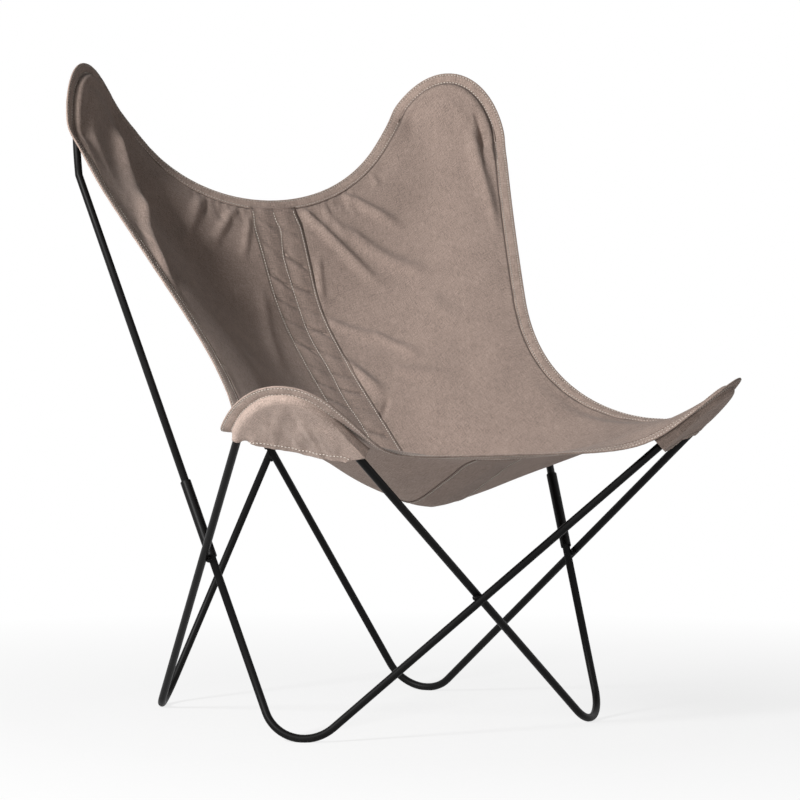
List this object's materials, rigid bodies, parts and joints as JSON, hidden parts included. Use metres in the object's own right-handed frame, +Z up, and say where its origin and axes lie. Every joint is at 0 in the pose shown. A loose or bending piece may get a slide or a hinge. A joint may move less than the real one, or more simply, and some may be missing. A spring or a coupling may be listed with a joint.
{
  "type": "butterfly sling chair",
  "caption": "Low lounge chair: a canvas sling hangs by its corner pockets on crossing loops of thin black steel rod, with a wide strap sewn down its middle seam.",
  "frame": {"origin": "on the floor, under the middle of the chair's bounding box", "axes": "+Z up, -Y the way the sitter faces, +X the sitter's left"},
  "size_m": [0.7678, 0.7996, 0.9318],
  "materials": {
    "rod_paint": "satin black powder coat",
    "canvas": "taupe plain-weave cotton canvas"
  },
  "bodies": {
    "root": {"back_edge_band": "canvas", "centre_strap": "canvas", "front_edge_band": "canvas", "front_weld_left": "rod_paint", "front_weld_right": "rod_paint", "left_back_loop": "rod_paint", "left_back_pocket": "canvas", "left_base_rod": "rod_paint", "left_edge_band": "canvas", "left_front_pocket": "canvas", "left_rear_socket": "rod_paint", "left_side_socket": "rod_paint", "left_side_weld_back": "rod_paint", "left_side_weld_front": "rod_paint", "left_sling_panel": "canvas", "rear_weld_lower": "rod_paint", "rear_weld_upper": "rod_paint", "right_back_loop": "rod_paint", "right_back_pocket": "canvas", "right_base_rod": "rod_paint", "right_edge_band": "canvas", "right_front_pocket": "canvas", "right_rear_socket": "rod_paint", "right_side_socket": "rod_paint", "right_side_weld_back": "rod_paint", "right_side_weld_front": "rod_paint", "right_sling_panel": "canvas", "seam_tape": "canvas"}
  },
  "joints": []
}
